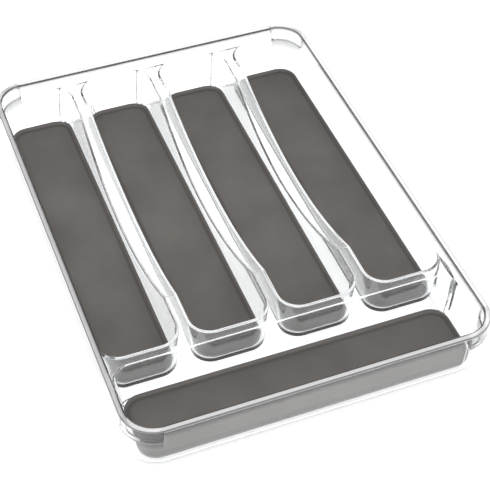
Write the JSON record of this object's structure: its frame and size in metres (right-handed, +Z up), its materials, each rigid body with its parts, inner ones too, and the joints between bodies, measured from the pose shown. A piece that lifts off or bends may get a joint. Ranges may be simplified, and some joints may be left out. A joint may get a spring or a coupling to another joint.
{
  "type": "cutlery tray",
  "caption": "Clear moulded drawer tray with parallel lanes, a cross compartment, scooped hollow dividers, stepped stacking corners, grey soft-grip liners and rubber feet.",
  "frame": {"origin": "centre of the tray's footprint on the surface it stands on, under the middle of the tray", "axes": "+X from the left side to the right side, +Y from the cross compartment at the front along the lanes to the back, +Z up"},
  "size_m": [0.237, 0.33, 0.041],
  "materials": {
    "clear_moulding": "clear, polished",
    "grip_liner": "matte soft-grip",
    "foot_rubber": "translucent matte"
  },
  "bodies": {
    "root": {"tray_body": "clear_moulding", "lane_liner_1": "grip_liner", "lane_liner_2": "grip_liner", "lane_liner_3": "grip_liner", "lane_liner_4": "grip_liner", "cross_liner": "grip_liner", "foot_front_left": "foot_rubber", "foot_front_right": "foot_rubber", "foot_back_left": "foot_rubber", "foot_back_right": "foot_rubber"}
  },
  "joints": []
}
